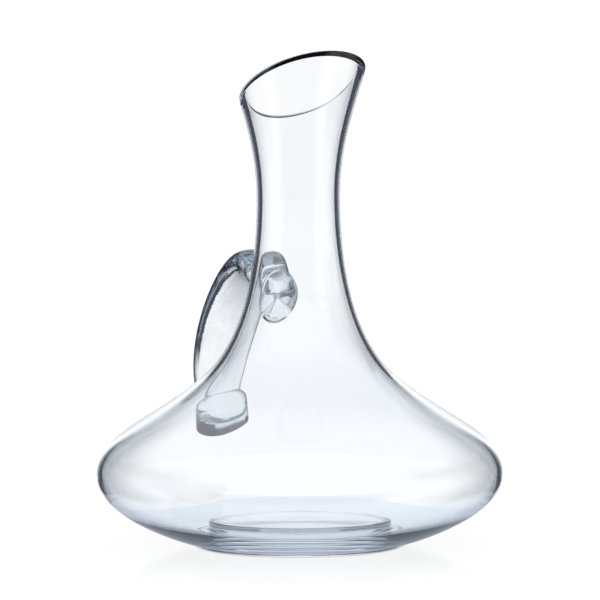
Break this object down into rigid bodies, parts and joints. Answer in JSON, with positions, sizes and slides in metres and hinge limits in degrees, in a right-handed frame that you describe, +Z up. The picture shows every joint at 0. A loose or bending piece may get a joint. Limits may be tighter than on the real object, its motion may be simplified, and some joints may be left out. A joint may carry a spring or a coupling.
{
  "type": "wine decanter",
  "caption": "Clear glass wine decanter with a wide low bowl, slender flared neck, slanted pouring lip, low foot ring and a solid glass loop handle.",
  "frame": {"origin": "on the bowl's axis, on the plane the foot ring stands on", "axes": "+Z up along the bowl's axis, +X towards the high lip of the mouth, -X towards the handle"},
  "size_m": [0.2136, 0.21, 0.255],
  "materials": {
    "blown_glass": "clear, fire polished",
    "solid_glass": "clear, fire polished, thick"
  },
  "bodies": {
    "root": {"vessel": "blown_glass", "foot_ring": "blown_glass", "handle_strap": "solid_glass", "upper_seal": "solid_glass", "lower_stub": "solid_glass"}
  },
  "joints": []
}
